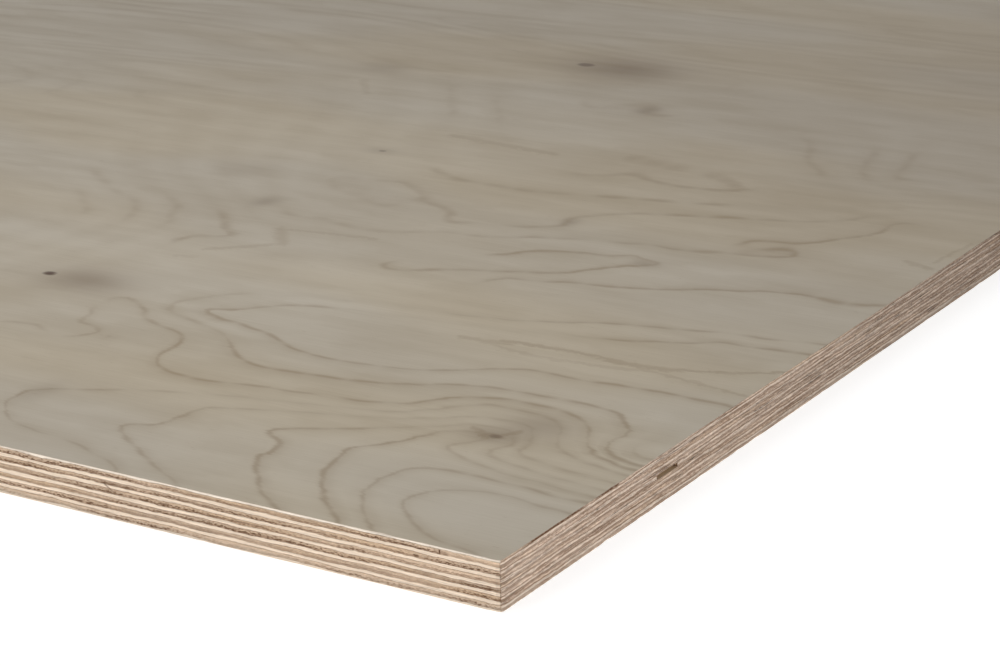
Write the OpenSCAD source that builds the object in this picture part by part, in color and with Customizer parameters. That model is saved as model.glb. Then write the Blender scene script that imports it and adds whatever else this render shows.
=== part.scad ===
// Plywood sheet: a full sheet of 18 mm birch plywood, built up from thirteen
// thin veneers. Each veneer has its grain across the one below it, and both
// faces have their grain along the sheet.
//
// Millimetres. X runs along the sheet, Y across it, and Z is up. The sheet
// lies flat with its back on z = 0, and its middle is over the origin.
//
// The veneers lie face to face. The glue between them is a film that adds
// nothing to the thickness. They are counted from the face down: the face
// veneer is 1, the crossbands are the even ones, and the back is the last.

/* [Sheet] */
// Length of the sheet, along the grain of its faces
sheet_length = 2440; // [600:10:3660]
// Width of the sheet, across the grain of its faces
sheet_width = 1220; // [300:10:1830]
// Number of veneers, an odd number
ply_count = 13; // [7:2:21]

/* [Veneers] */
// Thickness of the face and back veneers, after sanding
outer_thickness = 0.8; // [0.5:0.05:1.5]
// Thickness of a crossband, with its grain across the sheet
crossband_thickness = 1.7; // [1:0.05:3]
// Thickness of an inner veneer with its grain along the sheet
long_thickness = 1.24; // [1:0.02:3]

/* [Knot hole] */
// Crossband that has an open knot hole at the right-hand short edge
knot_ply = 6; // [2:2:6]
// Diameter of the knot hole
knot_diameter = 16; // [8:1:30]
// Distance of its middle in from the short edge, which cuts it open
knot_inset = 3; // [0:0.5:3.5]
// Distance of its middle from the front long edge
knot_from_front = 109; // [20:1:280]

/* [Hidden] */
crossband_count = (ply_count - 1) / 2;
inner_long_count = (ply_count - 3) / 2;
// Thickness of the whole sheet: 18 mm as set above
sheet_thickness = 2 * outer_thickness
    + crossband_count * crossband_thickness
    + inner_long_count * long_thickness;
// How far the knot hole's cutter runs past each side of its veneer
overrun = 1;
$fn = 48;

function is_outer(n) = n == 1 || n == ply_count;
function is_crossband(n) = n % 2 == 0;
function two_digits(n) = n < 10 ? str("0", n) : str(n);

function ply_thickness(n) =
    is_outer(n) ? outer_thickness
    : is_crossband(n) ? crossband_thickness
    : long_thickness;

function ply_bottom(n) = n == ply_count ? 0 : ply_bottom(n + 1) + ply_thickness(n + 1);

function ply_name(n) =
    n == 1 ? "face_veneer"
    : n == ply_count ? "back_veneer"
    : str(is_crossband(n) ? "crossband_" : "long_ply_", two_digits(n));

// One whole veneer, at its place in the sheet
module veneer(n) {
    translate([-sheet_length / 2, -sheet_width / 2, ply_bottom(n)])
        cube([sheet_length, sheet_width, ply_thickness(n)]);
}

// The open knot hole, as a cutter through the veneer that has it
module knot_hole(n) {
    translate([
        sheet_length / 2 - knot_inset,
        knot_from_front - sheet_width / 2,
        ply_bottom(n) - overrun
    ])
        cylinder(d = knot_diameter, h = ply_thickness(n) + 2 * overrun);
}

module face_veneer() {
    color("#a99f8f") veneer(1);
}

module crossband(n) {
    color("#b79e80")
        difference() {
            veneer(n);
            if (n == knot_ply) knot_hole(n);
        }
}

module long_grain_ply(n) {
    color("#ead6bd") veneer(n);
}

module back_veneer() {
    color("#b3a893") veneer(ply_count);
}

face_veneer();
for (n = [2 : 2 : ply_count - 1]) crossband(n);
for (n = [3 : 2 : ply_count - 2]) long_grain_ply(n);
back_veneer();
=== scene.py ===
"""Looks of a full sheet of birch plywood that lies flat, face up, on a pale floor.

Metres. X runs along the sheet and along the grain of both faces, Y runs across it, Z is up.
The corner where the front long edge (lowest y) meets the right-hand short edge (highest x) is the
near corner, and marks on the faces and edges are placed from it.
"""

import logging
import math
import random
from dataclasses import dataclass, field
from enum import Enum
from typing import Any, Union

import bmesh
import bpy
import numpy as np
from mathutils import Matrix, Vector


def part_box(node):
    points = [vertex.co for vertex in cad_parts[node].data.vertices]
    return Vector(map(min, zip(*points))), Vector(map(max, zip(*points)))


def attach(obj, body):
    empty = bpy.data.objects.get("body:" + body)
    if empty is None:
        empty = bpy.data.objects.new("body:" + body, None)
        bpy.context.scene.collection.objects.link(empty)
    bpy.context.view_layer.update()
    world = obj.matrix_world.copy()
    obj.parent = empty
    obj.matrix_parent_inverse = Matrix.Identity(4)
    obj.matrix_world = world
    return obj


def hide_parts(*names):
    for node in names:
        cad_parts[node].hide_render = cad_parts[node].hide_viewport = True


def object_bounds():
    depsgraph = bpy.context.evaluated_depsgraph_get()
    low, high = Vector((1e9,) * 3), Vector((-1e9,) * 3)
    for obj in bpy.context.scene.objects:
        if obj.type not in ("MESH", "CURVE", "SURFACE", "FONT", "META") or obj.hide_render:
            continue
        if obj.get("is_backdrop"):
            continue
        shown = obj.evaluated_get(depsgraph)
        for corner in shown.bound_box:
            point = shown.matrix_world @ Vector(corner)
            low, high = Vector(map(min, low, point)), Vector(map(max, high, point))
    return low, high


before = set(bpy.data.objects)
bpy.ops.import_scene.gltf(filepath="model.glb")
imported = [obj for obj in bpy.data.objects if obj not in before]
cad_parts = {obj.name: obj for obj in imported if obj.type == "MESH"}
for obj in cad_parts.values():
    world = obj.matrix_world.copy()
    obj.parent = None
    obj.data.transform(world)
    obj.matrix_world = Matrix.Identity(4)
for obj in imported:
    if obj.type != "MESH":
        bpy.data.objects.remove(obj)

log = logging.getLogger("plywood")

MM = 0.001
# Heights this near each other count as level.
FLUSH = 0.01 * MM
# Points this near the plane of an edge are part of it.
ON_EDGE = 0.5 * MM

Colour = tuple[float, float, float]


# ---------------------------------------------------------------- shader maths


class Wire:
    """A number in a node tree. Python's operators on it add Math nodes."""

    def __init__(self, tree: "Tree", socket: bpy.types.NodeSocket) -> None:
        """Wraps an output socket of a tree."""
        self.tree = tree
        self.socket = socket

    def __add__(self, other: "Number") -> "Wire":
        """This plus other."""
        return self.tree.math("ADD", self, other)

    def __radd__(self, other: "Number") -> "Wire":
        """Other plus this."""
        return self.tree.math("ADD", other, self)

    def __sub__(self, other: "Number") -> "Wire":
        """This less other."""
        return self.tree.math("SUBTRACT", self, other)

    def __rsub__(self, other: "Number") -> "Wire":
        """Other less this."""
        return self.tree.math("SUBTRACT", other, self)

    def __mul__(self, other: "Number") -> "Wire":
        """This times other."""
        return self.tree.math("MULTIPLY", self, other)

    def __rmul__(self, other: "Number") -> "Wire":
        """Other times this."""
        return self.tree.math("MULTIPLY", other, self)

    def __truediv__(self, other: "Number") -> "Wire":
        """This divided by other."""
        return self.tree.math("DIVIDE", self, other)

    def __rtruediv__(self, other: "Number") -> "Wire":
        """Other divided by this."""
        return self.tree.math("DIVIDE", other, self)

    def __mod__(self, other: "Number") -> "Wire":
        """This modulo other, never negative."""
        return self.tree.math("FLOORED_MODULO", self, other)

    def __rmod__(self, other: "Number") -> "Wire":
        """Other modulo this, never negative."""
        return self.tree.math("FLOORED_MODULO", other, self)

    def __neg__(self) -> "Wire":
        """Minus this."""
        return self.tree.math("MULTIPLY", self, -1.0)

    def __abs__(self) -> "Wire":
        """The size of this."""
        return self.tree.math("ABSOLUTE", self)

    def __lt__(self, other: "Number") -> "Wire":
        """1 where this is less than other."""
        return self.tree.math("LESS_THAN", self, other)

    def __gt__(self, other: "Number") -> "Wire":
        """1 where this is more than other."""
        return self.tree.math("GREATER_THAN", self, other)


Number = Union[Wire, float, int]


class Tree:
    """A node tree, with one method that adds any node and short ones for common sums."""

    def __init__(self, tree: bpy.types.NodeTree) -> None:
        """Empties a node tree to build in.

        Args:
            tree: The node tree of a material or the world.
        """
        self.nodes = tree.nodes
        self.links = tree.links
        self.nodes.clear()

    def node(
        self,
        kind: str,
        settings: dict[str, Any] | None = None,
        inputs: dict[str | int, Any] | None = None,
    ) -> bpy.types.Node:
        """Adds a node.

        Args:
            kind: The node's type.
            settings: Properties to set first, such as an operation.
            inputs: Values, wires or sockets, by the input's name or number.

        Returns:
            The new node.
        """
        made = self.nodes.new(kind)
        for name, value in (settings or {}).items():
            setattr(made, name, value)
        for name, value in (inputs or {}).items():
            self.feed(made.inputs[name], value)
        return made

    def feed(self, socket: bpy.types.NodeSocket, value: Any) -> None:
        """Links a wire or a socket to an input, or sets its value.

        Args:
            socket: The input.
            value: A wire, an output socket, or a plain value.
        """
        if isinstance(value, Wire):
            value = value.socket
        if isinstance(value, bpy.types.NodeSocket):
            self.links.new(value, socket)
        elif socket.type == "RGBA" and len(value) == 3:
            socket.default_value = (*value, 1.0)
        else:
            socket.default_value = value

    def math(self, operation: str, *terms: Number) -> Wire:
        """The result of a Math node."""
        made = self.node("ShaderNodeMath", {"operation": operation}, dict(enumerate(terms)))
        return Wire(self, made.outputs[0])

    def smooth(self, value: Number, low: float, high: float) -> Wire:
        """An S-shaped step from 0 to 1, or from 1 to 0.

        Args:
            value: The number to step on.
            low: Where the step is still 0. It may lie above high.
            high: Where the step has reached 1.

        Returns:
            The step, between 0 and 1.
        """
        turned = low > high
        first, last = (high, low) if turned else (low, high)
        ends = {3: 1.0, 4: 0.0} if turned else {3: 0.0, 4: 1.0}
        made = self.node(
            "ShaderNodeMapRange",
            {"interpolation_type": "SMOOTHSTEP"},
            {0: value, 1: first, 2: last, **ends},
        )
        return Wire(self, made.outputs[0])

    def clamp(self, value: Number) -> Wire:
        """The value kept between 0 and 1."""
        made = self.node("ShaderNodeClamp", None, {0: value, 1: 0.0, 2: 1.0})
        return Wire(self, made.outputs[0])

    def vector(self, x: Number, y: Number, z: Number) -> bpy.types.NodeSocket:
        """A vector of three numbers."""
        return self.node("ShaderNodeCombineXYZ", None, {0: x, 1: y, 2: z}).outputs[0]

    def split(self, vector: bpy.types.NodeSocket) -> tuple[Wire, Wire, Wire]:
        """The three numbers of a vector."""
        parts = self.node("ShaderNodeSeparateXYZ", None, {0: vector}).outputs
        return Wire(self, parts[0]), Wire(self, parts[1]), Wire(self, parts[2])

    def place(self) -> tuple[Wire, Wire, Wire]:
        """The point's x, y and z in the object's own frame."""
        return self.split(self.node("ShaderNodeTexCoord").outputs["Object"])

    def normal(self) -> tuple[Wire, Wire, Wire]:
        """The surface's outward direction."""
        return self.split(self.node("ShaderNodeTexCoord").outputs["Normal"])

    def noise(
        self,
        x: Number,
        y: Number,
        z: Number,
        detail: float = 2.0,
        rough: float = 0.5,
    ) -> Wire:
        """Soft noise around 0.5, with features about one unit long.

        Args:
            x: First coordinate, in features.
            y: Second coordinate.
            z: Third coordinate, often a seed.
            detail: Octaves of finer noise.
            rough: How strong each octave is beside the last.

        Returns:
            The noise, mostly between 0.25 and 0.75.
        """
        made = self.node(
            "ShaderNodeTexNoise",
            {"noise_dimensions": "3D"},
            {"Vector": self.vector(x, y, z), "Scale": 1.0, "Detail": detail, "Roughness": rough},
        )
        return Wire(self, made.outputs[0])

    def blend(self, share: Number, first: Any, second: Any, mode: str = "MIX") -> bpy.types.NodeSocket:
        """Mixes two colours.

        Args:
            share: How much of the second.
            first: A colour or a colour socket.
            second: A colour or a colour socket.
            mode: The way of mixing.

        Returns:
            The mixed colour.
        """
        made = self.node(
            "ShaderNodeMix",
            {"data_type": "RGBA", "blend_type": mode, "clamp_factor": True},
            {0: share, 6: first, 7: second},
        )
        return made.outputs[2]

    def attribute(self, name: str, output: str) -> bpy.types.NodeSocket:
        """A value that the mesh carries at its points."""
        return self.node("ShaderNodeAttribute", {"attribute_name": name}).outputs[output]

    def bump(self, height: Wire, depth: float) -> bpy.types.NodeSocket:
        """A normal from a height between 0 and 1 that stands for depth metres."""
        made = self.node("ShaderNodeBump", None, {"Height": height, "Distance": depth, "Strength": 1.0})
        return made.outputs["Normal"]


class Surface(Tree):
    """A material's tree, with its Principled shader."""

    def __init__(self, name: str) -> None:
        """Starts a material.

        Args:
            name: The material's name.
        """
        self.material = bpy.data.materials.new(name)
        self.material.use_nodes = True
        super().__init__(self.material.node_tree)
        self.shader = self.node("ShaderNodeBsdfPrincipled")
        output = self.node("ShaderNodeOutputMaterial")
        self.links.new(self.shader.outputs["BSDF"], output.inputs["Surface"])

    def finish(
        self,
        colour: Any,
        roughness: Any,
        normal: bpy.types.NodeSocket | None = None,
        specular: float = 0.5,
    ) -> bpy.types.Material:
        """Connects the shader and returns the material.

        Args:
            colour: Base colour.
            roughness: Roughness.
            normal: Bumped normal, if any.
            specular: Specular level, the same all over.

        Returns:
            The finished material.
        """
        self.feed(self.shader.inputs["Base Color"], colour)
        self.feed(self.shader.inputs["Roughness"], roughness)
        self.shader.inputs["Specular IOR Level"].default_value = specular
        if normal is not None:
            self.feed(self.shader.inputs["Normal"], normal)
        return self.material


# ---------------------------------------------------------------- growth rings


@dataclass(frozen=True)
class RingLine:
    """One growth-ring line on the face, drawn through a few points.

    level counts the rings from an arbitrary one, strong is how dark the line is, and the points
    are millimetres down the length and over the width from the near corner.
    """

    level: int
    strong: float
    points: tuple[tuple[int, int], ...]


@dataclass(frozen=True)
class RingSpot:
    """A height between two ring lines, which keeps the lines round it apart."""

    level: float
    point: tuple[int, int]


NEAR_CORNER_LINES = (
    RingLine(6, 0.8, (
        (0, 44), (12, 45), (24, 47), (34, 47), (45, 43),
        (54, 33), (53, 24), (47, 17), (39, 11), (29, 5), (14, 2),
    )),
    RingLine(5, 0.75, (
        (0, 55), (20, 56), (40, 57), (56, 57), (66, 54),
        (71, 45), (72, 34), (69, 24), (62, 14), (53, 5),
    )),
    RingLine(4, 0.5, (
        (0, 60), (15, 61), (32, 63), (48, 66), (60, 70),
        (68, 75), (68, 80), (62, 85), (70, 92), (77, 88),
    )),
    RingLine(4, 1.0, (
        (83, 78), (90, 66), (97, 57), (95, 46), (92, 35), (85, 24), (76, 13), (65, 4),
    )),
    RingLine(3, 0.45, (
        (0, 67), (18, 69), (35, 71), (49, 75), (54, 80),
        (50, 88), (58, 99), (68, 99), (80, 92), (92, 84),
    )),
    RingLine(3, 0.9, (
        (108, 74), (122, 66), (131, 60), (124, 52), (120, 44),
        (121, 36), (115, 27), (107, 17), (98, 8), (88, 1),
    )),
    RingLine(2, 0.45, (
        (0, 74), (20, 76), (38, 80), (45, 86), (47, 96),
        (54, 106), (66, 107), (80, 103), (93, 94), (110, 86),
    )),
    RingLine(2, 0.7, (
        (130, 80), (150, 73), (165, 66), (168, 55), (171, 43),
        (181, 35), (172, 27), (158, 19), (146, 11), (134, 4),
    )),
    RingLine(1, 0.5, (
        (0, 82), (15, 85), (28, 90), (37, 97), (42, 108),
        (50, 116), (62, 119), (77, 118), (90, 108), (105, 95),
    )),
    RingLine(1, 0.5, ((135, 87), (165, 80), (190, 72))),
    RingLine(1, 0.9, (
        (212, 62), (228, 54), (235, 45), (233, 35), (225, 25), (208, 18), (182, 14), (160, 5),
    )),
    RingLine(0, 0.8, (
        (0, 88), (12, 91), (24, 98), (33, 112), (45, 123), (62, 126), (80, 124), (95, 116), (102, 107),
    )),
    RingLine(0, 0.9, (
        (120, 99), (147, 95), (165, 93), (183, 89), (200, 90),
        (212, 96), (217, 106), (218, 118), (228, 128),
    )),
    RingLine(0, 0.7, ((243, 133), (256, 144), (270, 152))),
    RingLine(-1, 0.9, (
        (2, 92), (12, 95), (20, 102), (20, 117), (25, 124), (32, 132), (48, 135), (68, 135), (86, 134),
    )),
    RingLine(-1, 0.9, (
        (100, 130), (116, 122), (130, 117), (146, 114), (162, 112), (178, 112), (191, 118), (200, 126),
    )),
    RingLine(-1, 0.5, ((212, 136), (230, 142), (248, 150), (250, 157), (244, 167), (237, 176))),
    RingLine(-1, 0.25, ((215, 185), (190, 192), (165, 196))),
    RingLine(-1, 0.7, (
        (140, 198), (122, 202), (108, 207), (97, 212),
        (84, 218), (67, 222), (50, 226), (25, 230), (0, 235),
    )),
    RingLine(-2, 1.0, (
        (0, 158), (12, 159), (30, 159), (50, 158), (70, 157),
        (87, 156), (100, 149), (112, 141), (127, 135),
    )),
    RingLine(-2, 0.9, (
        (145, 132), (160, 131), (175, 134), (190, 141), (205, 146), (222, 149), (232, 153), (224, 160),
    )),
    RingLine(-2, 0.7, ((217, 168), (209, 175), (197, 180))),
    RingLine(-2, 0.25, ((180, 184), (155, 187), (130, 190), (105, 194), (85, 199))),
    RingLine(-2, 0.8, ((72, 202), (60, 207), (47, 212), (35, 219), (15, 221), (0, 222))),
    RingLine(0, 1.0, (
        (150, 247), (127, 254), (110, 257), (97, 261),
        (84, 266), (72, 273), (60, 277), (50, 282), (37, 285),
    )),
    RingLine(0, 1.0, ((22, 284), (7, 286))),
    RingLine(1, 1.0, (
        (202, 235), (185, 241), (170, 249), (155, 254), (140, 260), (130, 267), (124, 276), (115, 285),
    )),
    RingLine(1, 1.1, (
        (105, 291), (115, 296), (125, 295), (137, 292), (150, 289), (160, 284), (166, 276),
    )),
    RingLine(1, 0.5, (
        (182, 294), (192, 291), (207, 289), (220, 282), (232, 277), (252, 277), (265, 280), (282, 279),
    )),
    RingLine(1, 0.9, (
        (170, 301), (155, 306), (130, 312), (112, 314), (95, 317), (78, 321), (66, 325), (61, 330),
    )),
    RingLine(1, 1.0, (
        (70, 335), (85, 340), (75, 344), (65, 348), (57, 356), (50, 366), (43, 378), (42, 392),
    )),
    RingLine(2, 0.9, (
        (180, 312), (168, 321), (170, 330), (165, 338), (158, 345), (148, 352), (130, 359), (110, 366),
    )),
    RingLine(2, 0.7, ((90, 371), (75, 378), (62, 388))),
    RingLine(3, 0.9, (
        (260, 367), (245, 361), (225, 360), (210, 360), (195, 363), (170, 369), (150, 374), (125, 381),
    )),
    RingLine(4, 0.9, (
        (200, 394), (188, 400), (180, 405), (172, 402), (163, 399), (150, 398), (135, 401), (127, 404),
    )),
    RingLine(4, 0.9, ((130, 412), (137, 418), (146, 421))),
    RingLine(4, 0.8, ((168, 425), (180, 427), (195, 430))),
    RingLine(2, 0.8, (
        (265, 345), (258, 340), (250, 335), (243, 327), (235, 322), (228, 320), (220, 313), (212, 303),
    )),
    RingLine(2, 0.5, (
        (275, 342), (290, 340), (297, 333), (290, 324), (275, 318), (265, 313), (252, 310),
    )),
    RingLine(5, 0.8, ((133, 492), (127, 480), (123, 470), (117, 460), (108, 451))),
    RingLine(6, 0.6, ((98, 488), (94, 472), (88, 455))),
    RingLine(7, 0.6, ((80, 490), (76, 474), (71, 457))),
    RingLine(5, 1.2, ((262, 503), (248, 507), (239, 513), (235, 518), (229, 510), (222, 502))),
    RingLine(-1, 0.9, ((301, 230), (297, 234), (286, 242), (297, 252), (307, 264))),
    RingLine(-2, 0.6, ((322, 245), (328, 253), (333, 265), (341, 272))),
    RingLine(-3, 0.6, ((343, 245), (348, 254), (356, 263), (372, 271), (388, 281), (400, 290))),
    RingLine(-4, 0.5, ((366, 243), (376, 252), (386, 262))),
    RingLine(0, 0.6, (
        (272, 129), (267, 119), (255, 114), (246, 111), (257, 109), (280, 108), (292, 106),
    )),
    RingLine(3, 0.5, ((314, 463), (320, 471), (330, 486), (340, 500))),
    RingLine(4, 0.4, ((287, 462), (296, 476), (306, 489))),
)

NEAR_CORNER_SPOTS = (
    RingSpot(-2.6, (120, 172)),
    RingSpot(-2.7, (70, 180)),
    RingSpot(-2.7, (15, 190)),
    RingSpot(-2.5, (190, 160)),
    RingSpot(-0.3, (264, 112)),
    RingSpot(-0.4, (280, 113)),
    RingSpot(1.5, (118, 291)),
    RingSpot(6.5, (25, 25)),
)


@dataclass(frozen=True)
class RingMap:
    """A smooth height map whose whole-number contours run through the ring lines.

    A line stays dark within reach of its points. The sums count in units of unit metres, slack
    lets the map miss its points a little, tiny keeps a logarithm off 0, and batch is how many
    points are read at a time.
    """

    lines: tuple[RingLine, ...] = NEAR_CORNER_LINES
    spots: tuple[RingSpot, ...] = NEAR_CORNER_SPOTS
    reach: float = 9 * MM
    unit: float = 0.1
    slack: float = 1e-4
    tiny: float = 1e-9
    batch: int = 10000

    def given(self) -> tuple[np.ndarray, np.ndarray, np.ndarray]:
        """The points, heights and strengths that the map is held to.

        Returns:
            Points in units, heights in rings, and strengths, which are 0 at the spots.
        """
        points = [point for line in self.lines for point in line.points]
        levels = [line.level for line in self.lines for _ in line.points]
        strong = [line.strong for line in self.lines for _ in line.points]
        points += [spot.point for spot in self.spots]
        levels += [spot.level for spot in self.spots]
        strong += [0.0] * len(self.spots)
        return np.array(points) * MM / self.unit, np.array(levels, float), np.array(strong)

    def heights(self, at: np.ndarray) -> tuple[np.ndarray, np.ndarray]:
        """Bends a thin plate through the given heights and reads it at some points.

        Args:
            at: Distances from the near corner, along and across, in metres.

        Returns:
            Height and its two slopes per metre at each point, and how dark a line there is.
        """
        points, levels, strong = self.given()
        count = len(points)
        gap = ((points[:, None] - points[None]) ** 2).sum(-1)
        plate = np.zeros((count + 3, count + 3))
        plate[:count, :count] = 0.5 * gap * np.log(gap + self.tiny) + np.eye(count) * self.slack
        flat = np.concatenate([np.ones((count, 1)), points], 1)
        plate[:count, count:] = flat
        plate[count:, :count] = flat.T
        weights = np.linalg.solve(plate, np.concatenate([levels, np.zeros(3)]))
        found = np.zeros((len(at), 3))
        dark = np.zeros(len(at))
        for start in range(0, len(at), self.batch):
            part = slice(start, start + self.batch)
            away = at[part, None] / self.unit - points[None]
            gap = (away**2).sum(-1)
            log_gap = np.log(gap + self.tiny)
            found[part, 0] = (0.5 * gap * log_gap) @ weights[:count] + weights[count]
            found[part, 0] += at[part] / self.unit @ weights[count + 1 :]
            slope = ((log_gap + 1) * weights[:count])[..., None] * away
            found[part, 1:] = (slope.sum(1) + weights[count + 1 :]) / self.unit
            near = np.exp(-gap * (self.unit / self.reach) ** 2) * strong
            dark[part] = near.max(1)
        return found, dark


# ------------------------------------------------------------------- finishes


@dataclass(frozen=True)
class Knot:
    """A pin knot: a small dark heart and the stain beside it.

    along and across are from the near corner. The stain is a soft blot that sits off the heart,
    towards the near end if its offset is negative.
    """

    along: float
    across: float
    heart: float
    dark: float
    stain: float
    stain_size: float
    offset: float = -0.012


@dataclass(frozen=True)
class Blot:
    """A soft brown or grey patch on a face: mostly a stain, and for two broad ones painted shade."""

    along: float
    across: float
    half_length: float
    half_width: float
    strong: float


@dataclass(frozen=True)
class Streak:
    """A thin torn brown streak on a face, from one point to another, bowed sideways in between."""

    start: tuple[float, float]
    end: tuple[float, float]
    bow: float
    half_width: float
    strong: float


NEAR_CORNER_STREAKS = (
    Streak((0.0705, 0.0955), (0.0620, 0.0915), 0.0, 0.0020, 0.8),
    Streak((0.0630, 0.0915), (0.0580, 0.0925), 0.0, 0.0028, 1.2),
    Streak((0.0590, 0.0930), (0.0540, 0.1000), 0.0, 0.0017, 0.9),
    Streak((0.127, 0.1765), (0.106, 0.1780), 0.0, 0.0021, 0.65),
    Streak((0.110, 0.1800), (0.060, 0.1805), 0.0020, 0.0021, 0.85),
    Streak((0.064, 0.1800), (0.034, 0.1840), -0.0015, 0.0027, 0.85),
    Streak((0.036, 0.1835), (0.0, 0.2000), -0.0020, 0.0016, 0.95),
    Streak((0.116, 0.1750), (0.088, 0.1700), 0.0, 0.0017, 0.5),
    Streak((0.090, 0.1705), (0.050, 0.1760), -0.0010, 0.0015, 0.45),
    Streak((0.050, 0.1780), (0.002, 0.1705), 0.0, 0.0014, 0.6),
    Streak((0.290, 0.4240), (0.230, 0.4185), 0.0, 0.0036, 0.6),
    Streak((0.272, 0.2585), (0.259, 0.2415), 0.0, 0.0032, 0.65),
    Streak((0.259, 0.2415), (0.283, 0.2200), 0.0, 0.0026, 0.55),
    Streak((0.271, 0.2590), (0.228, 0.2665), 0.0010, 0.0017, 0.5),
    Streak((0.288, 0.2070), (0.281, 0.2090), 0.0, 0.0024, 0.3),
    Streak((0.016, 0.3450), (0.004, 0.3400), 0.0, 0.0024, 0.6),
    Streak((0.006, 0.3480), (0.003, 0.3800), 0.0, 0.0014, 0.5),
    Streak((0.390, 0.4950), (0.372, 0.4720), 0.0, 0.0026, 0.35),
)


@dataclass(frozen=True)
class FaceFinish:
    """Sanded rotary-cut birch: growth rings as thin brown contour lines, fibre streaks and knots.

    Where drawn is set, the ring lines that the mesh carries take the place of the open sheet's
    near the corner, and the two fades say from where to where, in metres from it. The shares are
    how strongly each detail is laid on. The open sheet's figure is rings_in_figure rings high and
    climbs rings_across more for each metre of width, and no line is drawn as if its slope were
    under least_slope rings per metre, so that none spreads on flat ground.
    """

    name: str
    seed: float
    length: float
    width: float
    drawn: bool = False
    pale: Colour = (0.75, 0.67, 0.545)
    deep: Colour = (0.635, 0.55, 0.425)
    line: Colour = (0.38, 0.265, 0.155)
    warm_tint: Colour = (1.0, 0.957, 0.87)
    # stain also colours the painted shade that two broad patches lay on the far side of the face.
    stain: Colour = (0.30, 0.215, 0.14)
    heart: Colour = (0.105, 0.05, 0.025)
    knots: tuple[Knot, ...] = ()
    blots: tuple[Blot, ...] = ()
    streaks: tuple[Streak, ...] = ()
    line_share: float = 0.39
    late_share: float = 0.19
    warm_share: float = 0.75
    fleck_share: float = 0.35
    rings_in_figure: float = 27.0
    rings_across: float = 5.0
    least_slope: float = 7.0
    slope_step: float = 2 * MM
    half_line: float = 1.05 * MM
    late_width: float = 3 * MM
    early_width: float = 6 * MM
    fade_along: tuple[float, float] = (0.50, 0.36)
    fade_across: tuple[float, float] = (0.60, 0.48)
    relief: float = 0.035 * MM

    def figure(self, tree: Tree, along: Wire, across: Wire) -> Wire:
        """Ring heights over the open sheet: long hills and hollows on a gentle slope."""
        broad = tree.noise(along * 1.35, across * 6.6, self.seed + 11, 2.2, 0.42) - 0.5
        return broad * self.rings_in_figure + across * self.rings_across

    def open_rings(self, tree: Tree, along: Wire, across: Wire) -> tuple[Wire, Wire, Wire]:
        """How the rings run on the open sheet.

        Args:
            tree: The tree to draw in.
            along: Distance along the sheet from the near corner.
            across: Distance across it.

        Returns:
            Their height, and its slopes along and across, per metre.
        """
        step = self.slope_step
        here = self.figure(tree, along, across)
        slope_along = (self.figure(tree, along + step, across) - here) / step
        slope_across = (self.figure(tree, along, across + step) - here) / step
        return here, slope_along, slope_across

    def drag(self, tree: Tree, along: Wire, across: Wire) -> tuple[Wire, Wire]:
        """How far fibres pull the rings, so that lines look torn.

        Args:
            tree: The tree to draw in.
            along: Distance along the sheet from the near corner.
            across: Distance across it.

        Returns:
            The pull along and the pull across, in metres.
        """
        fine = tree.noise(along * 60, across * 700, self.seed, 3.0, 0.7) - 0.5
        coarse = tree.noise(along * 30, across * 130, self.seed + 1, 2.0, 0.6) - 0.5
        sway = tree.noise(along * 55, across * 90, self.seed + 3, 2.0, 0.6) - 0.5
        return fine * 3.4 * MM + coarse * 5 * MM, sway * 2.8 * MM

    def ring_lines(
        self,
        tree: Tree,
        rings: tuple[Wire, Wire, Wire],
        pull: tuple[Wire, Wire],
        strong: Number,
        wide: Number,
    ) -> tuple[Wire, Wire, Wire]:
        """Thin lines of even width where the rings' height is a whole number.

        Args:
            tree: The material's tree.
            rings: Height and slopes.
            pull: How far the rings are moved along and across.
            strong: How dark the lines are.
            wide: Half a line's width.

        Returns:
            The lines, the soft late wood that shades one side of each, and how far a point is
            from its nearest line, from 0 to 1.
        """
        height = rings[0] + rings[1] * pull[0] + rings[2] * pull[1]
        steep = tree.math("SQRT", rings[1] * rings[1] + rings[2] * rings[2])
        off = height - tree.math("ROUND", height)
        away = off / tree.math("MAXIMUM", steep, self.least_slope)
        line = tree.smooth(abs(away) / wide, 1.0, 0.0)
        side = tree.smooth(away, -self.late_width, 0.0) * tree.smooth(away, self.early_width, 0.5 * MM)
        return line * strong, side * strong, abs(off) * 2

    def streak(self, tree: Tree, along: Wire, across: Wire, streak: Streak) -> Wire:
        """How strong one streak is at a point.

        Args:
            tree: The material's tree.
            along: The point's distance along the sheet from the near corner.
            across: Its distance across the sheet.
            streak: The streak.

        Returns:
            Strength from 0 to the streak's own.
        """
        run = streak.end[0] - streak.start[0]
        rise = streak.end[1] - streak.start[1]
        # How far along the streak the point's foot lies, as a share of it.
        foot = (along - streak.start[0]) * run + (across - streak.start[1]) * rise
        share = tree.clamp(foot / (run**2 + rise**2))
        off_along = along - (share * run + streak.start[0])
        torn = tree.noise(along * 190, across * 240, 3.0, 3.0, 0.65)
        bowed = share * rise + streak.start[1] + share * (1 - share) * (4 * streak.bow)
        off_across = across - bowed + (torn - 0.5) * 6.5 * MM
        away = tree.math("SQRT", off_along * off_along + off_across * off_across)
        core = tree.smooth(away / (torn + 0.4), streak.half_width * 1.5, streak.half_width * 0.2)
        return core * streak.strong

    def blot(self, tree: Tree, along: Wire, across: Wire, blot: Blot) -> Wire:
        """How strong one soft patch is at a point.

        Args:
            tree: The tree to draw in.
            along: Distance along the sheet from the near corner.
            across: Distance across it.
            blot: The patch.

        Returns:
            Its strength there.
        """
        u = (along - blot.along) / blot.half_length
        v = (across - blot.across) / blot.half_width
        return tree.math("EXPONENT", -(u * u + v * v)) * blot.strong

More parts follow.
